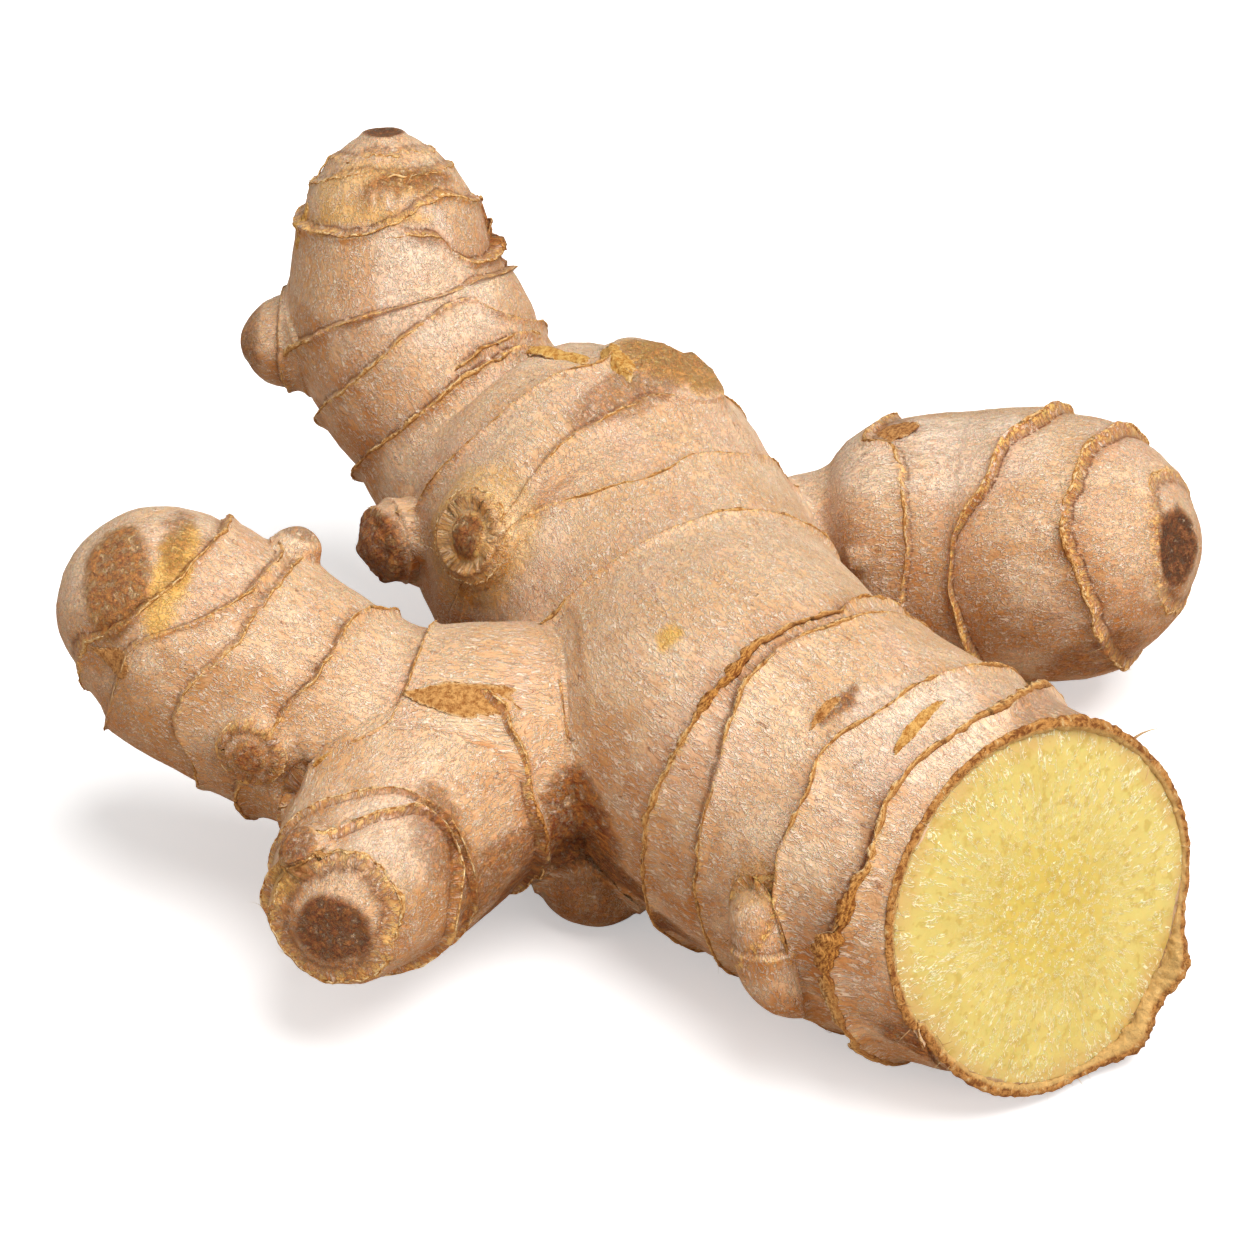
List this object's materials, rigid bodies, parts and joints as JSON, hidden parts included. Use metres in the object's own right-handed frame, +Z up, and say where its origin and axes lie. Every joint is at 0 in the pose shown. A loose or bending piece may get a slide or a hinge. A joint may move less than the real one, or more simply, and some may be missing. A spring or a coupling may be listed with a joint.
{
  "type": "ginger root",
  "caption": "Hand of fresh ginger lying on its side: a thick ringed stem with a cut end, side fingers, buds and a growing tip.",
  "frame": {"origin": "middle of the bounding box seen from above, on the surface that the root rests on", "axes": "+Z up from that surface, +X to the right towards the side finger beyond the cut end, +Y away from the cut end"},
  "size_m": [0.136, 0.1245, 0.0651],
  "materials": {
    "ginger_skin": "thin papery tan skin, satin, with brown scale rings; fresh ginger, not wood",
    "ginger_flesh": "moist fibrous pale yellow cut flesh"
  },
  "bodies": {
    "root": {"ginger_root": "ginger_skin"}
  },
  "joints": []
}
